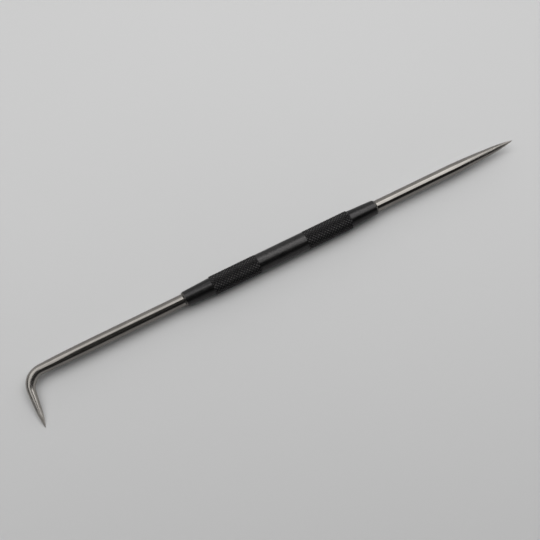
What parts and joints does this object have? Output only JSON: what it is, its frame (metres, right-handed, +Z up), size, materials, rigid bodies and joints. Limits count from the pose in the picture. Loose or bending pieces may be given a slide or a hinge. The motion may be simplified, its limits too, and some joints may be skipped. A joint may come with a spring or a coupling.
{
  "type": "double-ended scriber",
  "caption": "Steel scriber with a knurled grip, a straight needle point at one end and a right-angled bent point at the other.",
  "frame": {"origin": "middle of the tool's footprint, on the table it lies on", "axes": "+X along the handle towards the straight needle, +Z up from the table; the bent leg points to -Y"},
  "size_m": [0.2232, 0.0244, 0.008],
  "materials": {
    "blackened_steel": "black oxide on turned and knurled steel, satin, slightly oily",
    "polished_steel": "ground and polished bright, with faint grinding marks"
  },
  "bodies": {
    "root": {"handle": "blackened_steel", "straight_needle": "polished_steel", "bent_needle": "polished_steel"}
  },
  "joints": []
}
